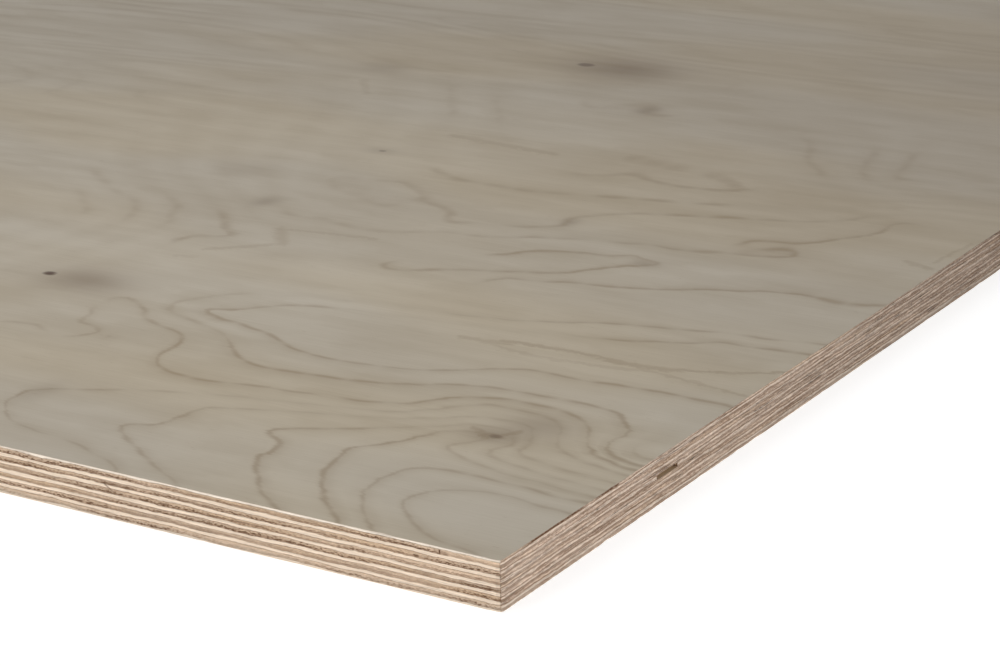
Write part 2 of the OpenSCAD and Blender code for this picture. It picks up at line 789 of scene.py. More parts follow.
    def growth(
        self,
        tree: Tree,
        along: Wire,
        across: Wire,
        pull: tuple[Wire, Wire],
        patchy: Wire,
    ) -> tuple[Wire, Wire, Wire]:
        """Every line on the face: the open sheet's rings, the drawn ones and the torn streaks.

        Args:
            tree: The material's tree.
            along: The point's distance along the sheet from the near corner.
            across: Its distance across the sheet.
            pull: How far fibres pull the lines along and across.
            patchy: Where the grain shows more, from 0 to 1.

        Returns:
            The lines, the soft late wood beside them, and how far the point is from a line.
        """
        far = self.open_rings(tree, along + pull[0] * 0.5, across)
        open_strong: Number = patchy * 0.8 + 0.1
        distant = tree.smooth(along + across, 0.3, 0.65)
        near: Number = 0.0
        if self.drawn:
            near = tree.smooth(along, *self.fade_along) * tree.smooth(across, *self.fade_across)
            beyond = tree.smooth(along + across, 0.95, 1.8)
            open_strong = open_strong * (1 - near) * (0.12 + 0.88 * beyond)
        # Lines get wider away from the near corner.
        wide = self.half_line + (0.8 * patchy + 3.0 * distant) * MM
        line, late, plain = self.ring_lines(tree, far, pull, open_strong, wide)
        if self.drawn:
            drawn = tree.split(tree.attribute("rings", "Vector"))
            strong = Wire(tree, tree.attribute("ring_strength", "Fac"))
            strong = tree.smooth(strong, 0.02, 1.0) * (0.55 + patchy * 0.65) * (1 - 0.5 * distant)
            drawn_line, drawn_late, drawn_plain = self.ring_lines(tree, drawn, pull, strong, wide)
            line = line + drawn_line
            late = late + drawn_late
            plain = plain + (drawn_plain - plain) * near
        for streak in self.streaks:
            torn = self.streak(tree, along + pull[0], across + pull[1], streak)
            line = tree.math("MAXIMUM", line, torn)
        return line, late, plain

    def material(self) -> bpy.types.Material:
        """Builds the face's material.

        Returns:
            The material, for the face veneer or the back.
        """
        tree = Surface(self.name)
        x, y, _ = tree.place()
        along = self.length / 2 - x
        across = y + self.width / 2
        pull = self.drag(tree, along, across)
        vary = tree.noise(along * 11, across * 38, self.seed + 5, 2.0, 0.6)
        patchy = tree.smooth(vary, 0.34, 0.6)
        line, late, plain = self.growth(tree, along, across, pull, patchy)
        fibre = tree.noise(along * 26, across * 1300, self.seed + 7, 3.0, 0.6)
        satin = tree.noise(along * 17 + pull[1] * 300, across * 62, self.seed + 9, 2.0, 0.5)
        cloud = tree.noise(along * 3.1, across * 6.2, self.seed + 13, 2.0, 0.5)
        # The satin noise lightens and darkens the colour in long streaks: partly the wood's own tone,
        # partly painted sheen. In the roughness below it varies the real sheen.
        tone = (satin - 0.5) * 1.5 + (cloud - 0.5) * 2.0 + (fibre - 0.5) * 0.95 + 0.60 - plain * 0.25
        colour = tree.blend(tree.clamp(tone), self.pale, self.deep)
        warm = tree.smooth(tree.noise(along * 4, across * 9, self.seed + 17, 1.0, 0.5), 0.4, 0.65)
        colour = tree.blend(warm * self.warm_share, colour, self.warm_tint, "MULTIPLY")
        colour = tree.blend(tree.clamp(late) * self.late_share, colour, self.line)
        colour = tree.blend(tree.clamp(line) * self.line_share, colour, self.line)
        fleck = tree.noise(along * 210, across * 1500, self.seed + 19, 1.0, 0.5)
        fleck = tree.smooth(fleck, 0.70, 0.80) * patchy
        colour = tree.blend(fleck * self.fleck_share, colour, self.line)
        # The patches summed here include painted shade on the far side of the face.
        stain: Number = 0.0
        for blot in self.blots:
            stain = stain + self.blot(tree, along, across, blot)
        heart: Number = 0.0
        rough_edge = (satin - 0.5) * 1.2 + (fibre - 0.5) * 0.8
        for knot in self.knots:
            u = (along - knot.along) / (knot.heart * 1.25)
            v = (across - knot.across) / knot.heart
            reach = u * u + v * v
            heart = heart + tree.smooth(reach + rough_edge * 1.8, 1.9, 0.1) * knot.dark
            middle = knot.along + knot.offset
            halo = Blot(middle, knot.across, knot.stain_size * 1.5, knot.stain_size, knot.stain)
            stain = stain + self.blot(tree, along, across, halo)
        if self.knots or self.blots:
            colour = tree.blend(tree.clamp(stain), colour, self.stain)
            colour = tree.blend(tree.clamp(heart), colour, self.heart)
        roughness = 0.50 + (satin - 0.5) * 0.22 + line * 0.1
        relief = fibre * 0.6 + satin * 0.4
        return tree.finish(colour, roughness, tree.bump(relief, self.relief), 0.3)


class Side(Enum):
    """Which of the sheet's edges a mark is on."""

    FRONT = "front"
    SHORT = "short"


@dataclass(frozen=True)
class Mark:
    """A soft-edged dark mark on a sawn edge.

    along is from the near corner, height is above the floor, and lean is how far its top is
    shifted along the edge for each metre of height.
    """

    side: Side
    along: float
    height: float
    half_length: float
    half_height: float
    depth: float
    lean: float = 0.0


@dataclass(frozen=True)
class EdgeFinish:
    """Sawn plywood edge: pale long grain, darker end grain with pores and checks, dark glue lines.

    The bands are worked out from heights, so that all veneers share one pattern. outer and
    crossband are veneer thicknesses, pitch is a crossband with a long-grain veneer, wander and
    fray are how far the glue lines leave their level, check_row is how far up a crossband its
    lathe checks lie, and the dust fades out between dust_full and dust_top.
    """

    name: str
    length: float
    width: float
    thickness: float
    outer: float
    crossband: float
    pitch: float
    # The front colours are the edge's own; the short-edge colours below are darker copies of them,
    # painted shade on the short edges, which face away from the key light.
    front_long: Colour = (0.81, 0.665, 0.525)
    front_end: Colour = (0.55, 0.41, 0.295)
    shaded_short_long: Colour = (0.50, 0.40, 0.32)
    shaded_short_end: Colour = (0.457, 0.36, 0.285)
    glue: Colour = (0.17, 0.095, 0.054)
    brown: Colour = (0.24, 0.13, 0.066)
    dust: Colour = (0.58, 0.50, 0.41)
    # skin is the pale top band of the long edges: partly the face veneer's paler wood, partly a painted
    # highlight along the top arris.
    skin: Colour = (0.92, 0.83, 0.71)
    pore: Colour = (0.10, 0.046, 0.022)
    ochre_tint: Colour = (1.0, 0.93, 0.80)
    marks: tuple[Mark, ...] = ()
    wander: float = 1.7 * MM
    fray: float = 0.55 * MM
    check_row: float = 0.27
    dust_top: float = 3.2 * MM
    dust_full: float = 0.8 * MM
    end_fibres: float = 1000.0
    side_fibres: float = 30.0
    relief: float = 0.14 * MM

    def mark(
        self,
        tree: Tree,
        place: tuple[Wire, Wire, Wire],
        facing: tuple[Wire, Wire],
        mark: Mark,
    ) -> Wire:
        """How dark one mark is at a point.

        Args:
            tree: The material's tree.
            place: The point.
            facing: How far the surface faces x and y.
            mark: The mark.

        Returns:
            Darkness from 0 to the mark's depth.
        """
        x, y, z = place
        if mark.side is Side.FRONT:
            along = self.length / 2 - x
            faces = facing[1]
            half = y < 0
        else:
            along = y + self.width / 2
            faces = facing[0]
            half = x > 0
        u = (along - mark.along + (z - mark.height) * mark.lean) / mark.half_length
        v = (z - mark.height) / mark.half_height
        inside = tree.smooth(tree.math("MAXIMUM", abs(u), abs(v)), 1.15, 0.7)
        return inside * (faces > 0.5) * half * mark.depth

    def material(self) -> bpy.types.Material:
        """Builds the edge's material.

        Returns:
            The material, for the sawn edge of all the veneers.
        """
        tree = Surface(self.name)
        x, y, z = tree.place()
        normal_x, normal_y, _ = tree.normal()
        facing_x = abs(normal_x)
        facing_y = abs(normal_y)
        # The veneers aren't quite even, so the glue lines wander.
        wander = tree.noise(x * 48, y * 48, z * 300, 3.0, 0.55) - 0.5
        fray = tree.noise(x * 320, y * 320, z * 700, 2.0, 0.6) - 0.5
        level = z + wander * self.wander + fray * self.fray
        into = (level - self.outer) % self.pitch
        band = tree.math("FLOOR", (level - self.outer) / self.pitch)
        off_middle = abs(level - self.thickness / 2)
        skin = self.thickness / 2 - self.outer
        cross = (into < self.crossband) * (off_middle < skin)
        number = band * 7.3 + cross * 3.1
        to_top = abs(into - self.crossband)
        to_bottom = tree.math("MINIMUM", into, self.pitch - into)
        hidden = off_middle > skin + 0.25 * MM
        end = cross * facing_y + (1 - cross) * facing_x
        # Fibres run along y in a crossband and along x in the others, and show short where cut.
        more_fibres = self.end_fibres - self.side_fibres
        run_x = x * (cross * more_fibres + self.side_fibres)
        run_y = y * ((1 - cross) * more_fibres + self.side_fibres)
        rise = z * (1 / MM)
        grain = tree.noise(run_x * 2.4, run_y * 2.4, rise * 2.6, 3.0, 0.65)
        coarse = tree.noise(run_x * 0.72, run_y * 0.72, rise * 2.5, 2.0, 0.6)
        streak = tree.noise(x * 75, y * 75, rise * 3.4, 3.0, 0.6)
        groove = tree.smooth(tree.noise(x * 48, y * 48, rise * 3.1 + 7, 3.0, 0.6), 0.54, 0.66)
        fleck = tree.noise(x * 420, y * 420, rise * 3.2 + 20, 2.0, 0.65)
        cluster = tree.noise(x * 24, y * 24, number, 2.0, 0.5)
        cluster = tree.smooth(cluster, 0.34, 0.60)
        drift = tree.noise(x * 9, y * 9, number + 50, 1.5, 0.5) - 0.5
        # The short edges take the darker copies of the colours: painted shade.
        long_colour = tree.blend(facing_x, self.front_long, self.shaded_short_long)
        end_colour = tree.blend(facing_x, self.front_end, self.shaded_short_end)
        ochre = tree.smooth(tree.noise(x * 13, y * 13, number + 90, 1.0, 0.5), 0.42, 0.66)
        end_colour = tree.blend(ochre * 0.45, end_colour, self.ochre_tint, "MULTIPLY")
        colour = tree.blend(end, long_colour, end_colour)
        # The top band of the long edges is painted paler: partly the face veneer's own wood, partly a
        # painted highlight along the top arris.
        face_band_highlight = tree.smooth(level, self.thickness - 1.1 * MM, self.thickness - 0.6 * MM)
        colour = tree.blend(face_band_highlight * facing_y * 0.8, colour, self.skin)
        low = tree.smooth(into, 0.75 * self.crossband, 0.0) * cross
        tone = (
            1.03
            + (grain - 0.5) * (end * 0.75 + 0.26)
            + drift * (end * 0.55 + 0.14)
            + (coarse - 0.5) * (end * 0.3 + 0.05)
            + (streak - 0.5) * (1.0 + facing_x * 0.3)
            + (fleck - 0.5) * (0.3 + end * facing_y * 0.75 + facing_x * 1.35)
            - low * 0.12
            - groove * (0.16 + facing_x * 0.6)
        )
        colour = tree.blend(1.0, colour, tree.vector(tone, tone, tone), "MULTIPLY")
        dust = tree.smooth(z, self.dust_top, self.dust_full) * (0.25 + 0.5 * ochre)
        colour = tree.blend(dust, colour, self.dust)
        # Lathe checks open dark rows a little above the bottom of each crossband.
        off_row = abs(into - self.check_row * self.crossband)
        rows = tree.smooth(off_row, 0.36 * self.crossband, 0.14 * self.crossband)
        dash = coarse + (grain - 0.5) * 0.35 + cluster * 0.05 + (rows * 0.13 - 0.06) * cross
        smear = tree.smooth(dash, 0.49, 0.62) * (0.35 + 0.65 * cluster) * end
        colour = tree.blend(smear * (0.62 - facing_x * 0.25), colour, self.brown)
        pores = tree.smooth(dash, 0.60, 0.70) * (0.15 + 0.85 * cluster) * end * (1 - facing_x * 0.5)
        colour = tree.blend(tree.clamp(pores) * 0.9, colour, self.pore)
        thick = tree.noise(x * 150, y * 150, number + z * 300, 2.0, 0.6)
        bold = tree.smooth(tree.noise(x * 28, y * 28, number + 20, 2.0, 0.5), 0.25, 0.62)
        wider = thick * facing_x * 0.24 * MM
        bottom_glue = tree.smooth(to_bottom - thick * 0.22 * MM - wider, 0.09 * MM, -0.04 * MM)
        top_glue = tree.smooth(to_top - thick * 0.18 * MM - wider, 0.09 * MM, -0.02 * MM)
        check = tree.smooth(off_row - thick * 0.34 * MM, 0.11 * MM, -0.05 * MM) * cross
        check = check * (0.25 + facing_x * 0.75) * (0.35 + 0.65 * bold)
        bottom_glue = bottom_glue * (0.25 + 0.35 * bold + 0.22 * facing_x)
        top_glue = top_glue * (0.2 + 0.5 * bold + 0.22 * facing_x)
        glued = tree.math("MAXIMUM", bottom_glue, top_glue)
        glued = tree.math("MAXIMUM", glued, check)
        glued = glued * (1 - hidden)
        colour = tree.blend(tree.clamp(glued) * 0.88, colour, self.glue)
        marked: Number = 0.0
        for mark in self.marks:
            marked = marked + self.mark(tree, (x, y, z), (facing_x, facing_y), mark)
        ragged = tree.smooth(tree.noise(x * 700, y * 700, z * 1900, 2.0, 0.6), 0.25, 0.6)
        marked = tree.clamp(marked * (0.35 + 0.65 * ragged))
        colour = tree.blend(marked, colour, self.pore)
        saw = tree.noise(x * 420, y * 420, z * 40, 1.0, 0.5)
        relief = 0.35 * grain + 0.2 * saw + 0.45 * (1 - tree.clamp(pores + glued * 0.6 + marked))
        roughness = 0.72 + 0.2 * end
        return tree.finish(colour, roughness, tree.bump(relief, self.relief), 0.2)


@dataclass(frozen=True)
class GlueFinish:
    """The film of cured glue between two veneers, seen only inside the knot hole."""

    name: str = "glue_film"
    film: Colour = (0.80, 0.66, 0.50)

    def material(self) -> bpy.types.Material:
        """Builds the glue's material, one colour with an uneven surface.

        Returns:
            The material, for the veneers' hidden faces.
        """
        tree = Surface(self.name)
        x, y, z = tree.place()
        spread = tree.noise(x * 300, y * 300, z * 10, 2.0, 0.5)
        return tree.finish(self.film, 0.6, tree.bump(spread, 0.05 * MM), 0.3)


# --------------------------------------------------------------------- veneers


class Role(Enum):
    """What a veneer does in the sheet."""

    FACE = "face"
    CROSSBAND = "crossband"
    LONG = "long"
    BACK = "back"


@dataclass(frozen=True)
class Wave:
    """A gentle wave along the sheet's outline, the sum of a few sines."""

    seed: int
    height: float
    lengths: tuple[float, ...] = (0.19, 0.083, 0.041, 0.017)

    def at(self, run: np.ndarray) -> np.ndarray:
        """The wave's height at distances round the outline.

        Args:
            run: Distances, in metres.

        Returns:
            Heights, mostly within the wave's height.
        """
        dice = random.Random(self.seed)
        total = np.zeros_like(run)
        for length in self.lengths:
            phase = dice.uniform(0, 2 * math.pi)
            total += np.sin(2 * math.pi * run / length + phase) * dice.uniform(0.5, 1.0)
        return total * self.height / len(self.lengths)


@dataclass(frozen=True)
class KnotHole:
    """An open knot hole that the right-hand short edge cuts through.

    across is from the front long edge, inset is how far its middle lies in from the short one,
    and points of the edge up to spare outside the hole's mouth move too.
    """

    across: float
    diameter: float
    inset: float
    spare: float = 1 * MM

    def move(self, at: np.ndarray, half_length: float, half_width: float) -> None:
        """Moves the outline's points in front of the hole back on to its wall.

        Args:
            at: The veneer's points, changed in place.
            half_length: Half the sheet's length.
            half_width: Half the sheet's width.
        """
        radius = self.diameter / 2
        half_chord = math.sqrt(radius**2 - self.inset**2)
        open_angle = math.atan2(half_chord, self.inset)
        off = at[:, 1] + half_width - self.across
        held = (at[:, 0] > half_length - ON_EDGE) & (np.abs(off) < half_chord + self.spare)
        # The outermost point on each side goes to the hole's corner.
        reach = np.where(off[held] > 0, off[held].max(), -off[held].min())
        turn = math.pi - off[held] / reach * (math.pi - open_angle)
        at[held, 0] = half_length - self.inset + radius * np.cos(turn)
        at[held, 1] = self.across - half_width + radius * np.sin(turn)


@dataclass(frozen=True)
class Columns:
    """How many columns of quads each row of the sheet's edge has, from the near corner on."""

    along: tuple[int, ...] = (100,) * 12
    across: tuple[int, ...] = (100,) * 6

    @staticmethod
    def stops(counts: tuple[int, ...], size: float) -> np.ndarray:
        """Distances of the column lines from the near corner.

        Args:
            counts: Columns in each row.
            size: The whole side.

        Returns:
            The distances, from 0 to the side's size.
        """
        row = size / len(counts)
        parts = [np.arange(count) / count * row + place * row for place, count in enumerate(counts)]
        return np.append(np.concatenate(parts), size)


@dataclass(frozen=True)
class Wear:
    """How a sawn edge departs from a true plane, in metres.

    Each veneer stands back by up to step, with a long wave and a short ripple on top. A vertical
    corner is worn by an amount within corner. Chips of a length and depth within their ranges lie
    along an outer arris, chip_height down it, and short_share of them are on the short edges.
    long_side and short_side are added to distances along the sides, which keeps the four apart.
    """

    step: float = 0.05 * MM
    wave: float = 0.06 * MM
    ripple: float = 0.03 * MM
    ripple_lengths: tuple[float, ...] = (0.011, 0.007, 0.0052)
    corner: tuple[float, float] = (0.12 * MM, 0.4 * MM)
    corner_reach: float = 1.1 * MM
    chips: int = 260
    chip_length: tuple[float, float] = (1 * MM, 3 * MM)
    chip_depth: tuple[float, float] = (0.04 * MM, 0.3 * MM)
    chip_height: float = 0.45 * MM
    deepest: float = 0.4 * MM
    short_share: float = 0.33
    long_side: float = 10.0
    short_side: float = 20.0


@dataclass(frozen=True)
class MapPlan:
    """How a veneer's flat map is shared out, in shares of its side.

    The edge's rows reach up to rows_top. Hidden faces are small squares on hidden_base, the top
    one first, and a face that shows has the room between the rows and them.
    """

    rows_top: float
    hidden_base: float
    hidden_size: float = 0.012
    hidden_left: tuple[float, float] = (0.004, 0.03)
    gap: float = 0.004
    row_ends: float = 0.003
    row_margin: float = 0.08
    face_ends: float = 0.001


class Zone(Enum):
    """A part of a veneer's surface, by its material's place in the mesh."""

    EDGE = 0
    HIDDEN = 1
    SHOWN = 2


def whole_numbers(items: bpy.types.bpy_prop_collection, name: str) -> np.ndarray:
    """One whole number from each part of a mesh.

    Args:
        items: The mesh's points, faces or corners.
        name: The property to read.

    Returns:
        The numbers, in the parts' order.
    """
    values = np.zeros(len(items), np.int32)
    items.foreach_get(name, values)
    return values


def places(items: bpy.types.bpy_prop_collection, name: str) -> np.ndarray:
    """The place of each part of a mesh.

    Args:
        items: The mesh's points or faces.
        name: The property to read.

    Returns:
        One row of x, y and z for each part, in their order.
    """
    values = np.zeros(len(items) * 3, np.float32)
    items.foreach_get(name, values)
    return values.reshape(-1, 3).astype(float)


def put_in_order(shape: bmesh.types.BMesh) -> None:
    """Lists the faces in the order of their points, as extruding leaves them in no fixed one.

    Args:
        shape: The shape, changed in place.
    """
    shape.verts.index_update()
    faces = sorted(shape.faces, key=lambda face: sorted(vert.index for vert in face.verts))
    for place, face in enumerate(faces):
        face.index = place
    shape.faces.sort()


@dataclass
class Veneer:
    """One veneer: small quads round its sawn edge, between its two flat faces."""

    node: str
    role: Role
    number: int
    low: Vector
    high: Vector
    columns: Columns = field(default_factory=Columns)
    wear: Wear = Wear()
    arris: float = 0.0
    arris_bend: float = 0.3
    hole: KnotHole | None = None
    rings: RingMap | None = None
    piece: bpy.types.Object | None = field(default=None, init=False)

    @property
    def is_outer(self) -> bool:
        """True for the face and back veneers."""
        return self.role in (Role.FACE, Role.BACK)

    @property
    def length(self) -> float:
        """Size along x."""
        return self.high.x - self.low.x

    @property
    def width(self) -> float:
        """Size along y."""
        return self.high.y - self.low.y

    def levels(self) -> list[tuple[float, float]]:
        """Heights of the edge's rings and how far each is drawn in, from the first one made.

        Returns:
            One pair for each ring: from the arris to the far face, or from the bottom to the top.
        """
        low, high = self.low.z, self.high.z
        middle = (low + high) / 2
        if not self.is_outer:
            return [(low, 0.0), (middle, 0.0), (high, 0.0)]
        rim, far, inwards = (high, low, -1) if self.role is Role.FACE else (low, high, 1)
        bend = self.arris_bend * self.arris
        return [
            (rim, self.arris),
            (rim + inwards * bend, bend),
            (rim + inwards * self.arris, 0.0),
            (middle, 0.0),
            (far, 0.0),
        ]

    def start(self) -> bmesh.types.BMesh:
        """What the edge grows from, cut into columns.

        Returns:
            A grid for a veneer that carries ring lines, or else a bare outline.
        """
        stops_x = self.columns.stops(self.columns.along, self.length)
        stops_y = self.columns.stops(self.columns.across, self.width)
        count_x, count_y = len(stops_x) - 1, len(stops_y) - 1
        shape = bmesh.new()
        if self.rings is not None:
            bmesh.ops.create_grid(shape, x_segments=count_x, y_segments=count_y, size=0.5)
        else:
            bmesh.ops.create_grid(shape, x_segments=1, y_segments=1, size=0.5)
            bmesh.ops.delete(shape, geom=shape.faces[:], context="FACES_ONLY")
            for axis, count in ((0, count_y), (1, count_x)):
                edges = [e for e in shape.edges if abs(e.verts[0].co[axis] - e.verts[1].co[axis]) < MM]
                bmesh.ops.subdivide_edges(shape, edges=edges, cuts=count - 1)
        for vert in shape.verts:
            vert.co.x = self.length / 2 - stops_x[round((0.5 - vert.co.x) * count_x)]
            vert.co.y = stops_y[round((0.5 + vert.co.y) * count_y)] - self.width / 2
        return shape

    def body(self) -> bmesh.types.BMesh:
        """The closed veneer: its edge extruded ring by ring, and a face at each open end.

        Returns:
            The veneer, with its faces pointing outwards.
        """
        shape = self.start()
        bare = not shape.faces
        ring = [edge for edge in shape.edges if bare or edge.is_boundary]
        rims = [ring]
        levels = self.levels()
        bmesh.ops.translate(shape, vec=(0, 0, levels[0][0]), verts=shape.verts)
        for _ in levels[1:]:
            made = bmesh.ops.extrude_edge_only(shape, edges=ring)["geom"]
            points = {part for part in made if isinstance(part, bmesh.types.BMVert)}
            lines = [part for part in made if isinstance(part, bmesh.types.BMEdge)]
            ring = [line for line in lines if points.issuperset(line.verts)]
            rims.append(ring)
        for edges, (height, drawn_in) in zip(rims, levels):
            points = list({v for e in edges for v in e.verts})
            share = Vector((1 - 2 * drawn_in / self.length, 1 - 2 * drawn_in / self.width, 1.0))
            bmesh.ops.scale(shape, vec=share, verts=points)
            bmesh.ops.translate(shape, vec=(0, 0, height - levels[0][0]), verts=points)
        open_ends = [rims[0], rims[-1]] if bare else [rims[-1]]
        for edges in open_ends:
            bmesh.ops.edgeloop_fill(shape, edges=edges)
        bmesh.ops.recalc_face_normals(shape, faces=shape.faces)
        put_in_order(shape)
        return shape

    def build(
        self,
        edge: bpy.types.Material,
        glue: bpy.types.Material,
        outer: bpy.types.Material,
    ) -> None:
        """Makes the veneer's object with its edge, glue and face materials.

        Args:
            edge: Material of the sawn edge.
            glue: Material of the hidden faces.
            outer: Material of a face that shows.
        """
        shape = self.body()
        mesh = bpy.data.meshes.new(self.node + "_wood")
        shape.to_mesh(mesh)
        shape.free()
        for material in (edge, glue, outer):
            mesh.materials.append(material)
        self.assign(mesh)
        self.lay_out(mesh)
        self.weather(mesh)
        if self.rings is not None:
            self.draw_rings(mesh)
        self.piece = bpy.data.objects.new(self.node + "_wood", mesh)
        bpy.context.scene.collection.objects.link(self.piece)
        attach(self.piece, "root")
        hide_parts(self.node)

    def assign(self, mesh: bpy.types.Mesh) -> None:
        """Gives the edge its material, and each flat face its own.

        Args:
            mesh: The veneer's mesh, changed in place.
        """
        height = places(mesh.polygons, "center")[:, 2]
        at_top = height > self.high.z - FLUSH
        at_bottom = height < self.low.z + FLUSH
        slots = np.where(at_top | at_bottom, Zone.HIDDEN.value, Zone.EDGE.value)
        if self.is_outer:
            slots[at_top if self.role is Role.FACE else at_bottom] = Zone.SHOWN.value
        mesh.polygons.foreach_set("material_index", slots.astype(np.int32))

    def share_up(self, z: np.ndarray) -> np.ndarray:
        """Heights as shares of the veneer's thickness, from its bottom."""
        return (z - self.low.z) / (self.high.z - self.low.z)

    def lay_out(self, mesh: bpy.types.Mesh) -> None:
        """Lays the veneer out flat for its maps: its edge row by row, then its two faces.

        Args:
            mesh: The veneer's mesh, changed in place.
        """
        plan = MapPlan(0.2, 0.986) if self.is_outer else MapPlan(0.97, 0.974)
        totals = whole_numbers(mesh.polygons, "loop_total")
        owner = np.repeat(np.arange(len(totals)), totals)
        slots = whole_numbers(mesh.polygons, "material_index")[owner]
        at = places(mesh.vertices, "co")[whole_numbers(mesh.loops, "vertex_index")]
        starts = whole_numbers(mesh.polygons, "loop_start")
        middle = np.add.reduceat(at, starts, axis=0) / totals[:, None]
        height = self.share_up(at[:, 2])
        uv = np.zeros((len(at), 2))

        # The sides are the front, the right, the back and the left, each cut into a few rows.
        half_x, half_y = self.length / 2, self.width / 2
        x, y = middle[:, 0], middle[:, 1]
        side = np.argmin(np.stack([y + half_y, half_x - x, half_y - y, x + half_x]), axis=0)
        runs = [half_x - at[:, 0], at[:, 1] + half_y] * 2
        mids = [half_x - x, y + half_y] * 2
        rows_long, rows_short = len(self.columns.along), len(self.columns.across)
        row_length = [self.length / rows_long, self.width / rows_short] * 2
        first_row = [0, rows_long, rows_long + rows_short, 2 * rows_long + rows_short]
        row_height = (plan.rows_top - plan.gap) / (2 * (rows_long + rows_short))
        for number, length in enumerate(row_length):
            row = np.floor(mids[number] / length).astype(int)[owner]
            here = (side == number)[owner] & (slots == Zone.EDGE.value)
            share = np.clip(runs[number] / length - row, 0.0, 1.0)
            across = plan.row_ends + (1 - 2 * plan.row_ends) * share
            up = first_row[number] + row + plan.row_margin + (1 - 2 * plan.row_margin) * height
            uv[here, 0] = across[here]
            uv[here, 1] = (up * row_height)[here]

        flat = np.stack([at[:, 0] / self.length + 0.5, at[:, 1] / self.width + 0.5], 1)
        hidden = slots == Zone.HIDDEN.value
        left = np.where(height > 0.5, *plan.hidden_left)
        uv[hidden, 0] = (flat[:, 0] * plan.hidden_size + left)[hidden]
        uv[hidden, 1] = (flat[:, 1] * plan.hidden_size + plan.hidden_base)[hidden]

        shown = slots == Zone.SHOWN.value
        base = plan.rows_top + plan.gap
        room = (1 - 2 * plan.face_ends, plan.hidden_base - plan.gap - base)
        uv[shown] = (flat * room + (plan.face_ends, base))[shown]
        layer = mesh.uv_layers.new(name="OFBake")
        layer.data.foreach_set("uv", uv.astype(np.float32).ravel())

    def weather(self, mesh: bpy.types.Mesh) -> None:
        """Moves the edge's points: a step and waves, worn corners, chips and the knot hole.

        Args:
            mesh: The veneer's mesh, changed in place.
        """
        wear = self.wear
        at = places(mesh.vertices, "co")
        half_x, half_y = self.length / 2, self.width / 2
        in_x, in_y = half_x - np.abs(at[:, 0]), half_y - np.abs(at[:, 1])
        on_x, on_y = in_x < ON_EDGE, in_y < ON_EDGE
        long_run = at[:, 0] + wear.long_side * np.sign(at[:, 1])
        short_run = at[:, 1] + wear.short_side * np.sign(at[:, 0])
        run = np.where(on_y, long_run, short_run)
        dice = random.Random(100 + self.number)
        ripple = np.abs(Wave(50 + self.number, wear.ripple, wear.ripple_lengths).at(run))
        corner = np.exp(-((np.maximum(in_x, in_y) / wear.corner_reach) ** 2))
        inward = dice.uniform(0.0, wear.step) + np.abs(Wave(self.number, wear.wave).at(run))
        inward += ripple * (0.4 + 0.6 * self.share_up(at[:, 2]))
        inward += corner * dice.uniform(*wear.corner)
        if self.is_outer:
            inward += self.chips(run, at[:, 2])
        at[:, 0] -= np.where(on_x, inward, 0.0) * np.sign(at[:, 0])
        at[:, 1] -= np.where(on_y, inward, 0.0) * np.sign(at[:, 1])
        if self.hole is not None:
            self.hole.move(at, half_x, half_y)
        mesh.vertices.foreach_set("co", at.astype(np.float32).ravel())
        mesh.update()

    def chips(self, run: np.ndarray, z: np.ndarray) -> np.ndarray:
        """How far small chips along the outer arris cut into it.

        Args:
            run: Distances round the outline.
            z: Heights.

        Returns:
            The cut at each point, in metres.
        """
        wear = self.wear
        dice = random.Random(700 + self.number)
        rim = self.high.z if self.role is Role.FACE else self.low.z
        near_rim = np.exp(-((np.abs(z - rim) / wear.chip_height) ** 2))
        half_x, half_y = self.length / 2, self.width / 2
        cut = np.zeros_like(run)
        for _ in range(wear.chips):
            middle = dice.choice((-wear.long_side, wear.long_side)) + dice.uniform(-half_x, half_x)
            if dice.random() < wear.short_share:
                middle = dice.choice((-wear.short_side, wear.short_side))
                middle += dice.uniform(-half_y, half_y)
            size = dice.uniform(*wear.chip_length)
            cut += np.exp(-(((run - middle) / size) ** 2)) * dice.uniform(*wear.chip_depth)
        return np.minimum(cut, wear.deepest) * near_rim

    def draw_rings(self, mesh: bpy.types.Mesh) -> None:
        """Writes the ring map on to the mesh's points, for the face's material to read.

        Args:
            mesh: The veneer's mesh, changed in place.
        """
        at = places(mesh.vertices, "co")
        from_corner = np.stack([self.length / 2 - at[:, 0], at[:, 1] + self.width / 2], 1)
        heights, dark = self.rings.heights(from_corner)
        rings = mesh.attributes.new("rings", "FLOAT_VECTOR", "POINT")
        rings.data.foreach_set("vector", heights.astype(np.float32).ravel())
        strength = mesh.attributes.new("ring_strength", "FLOAT", "POINT")
        strength.data.foreach_set("value", dark.astype(np.float32))


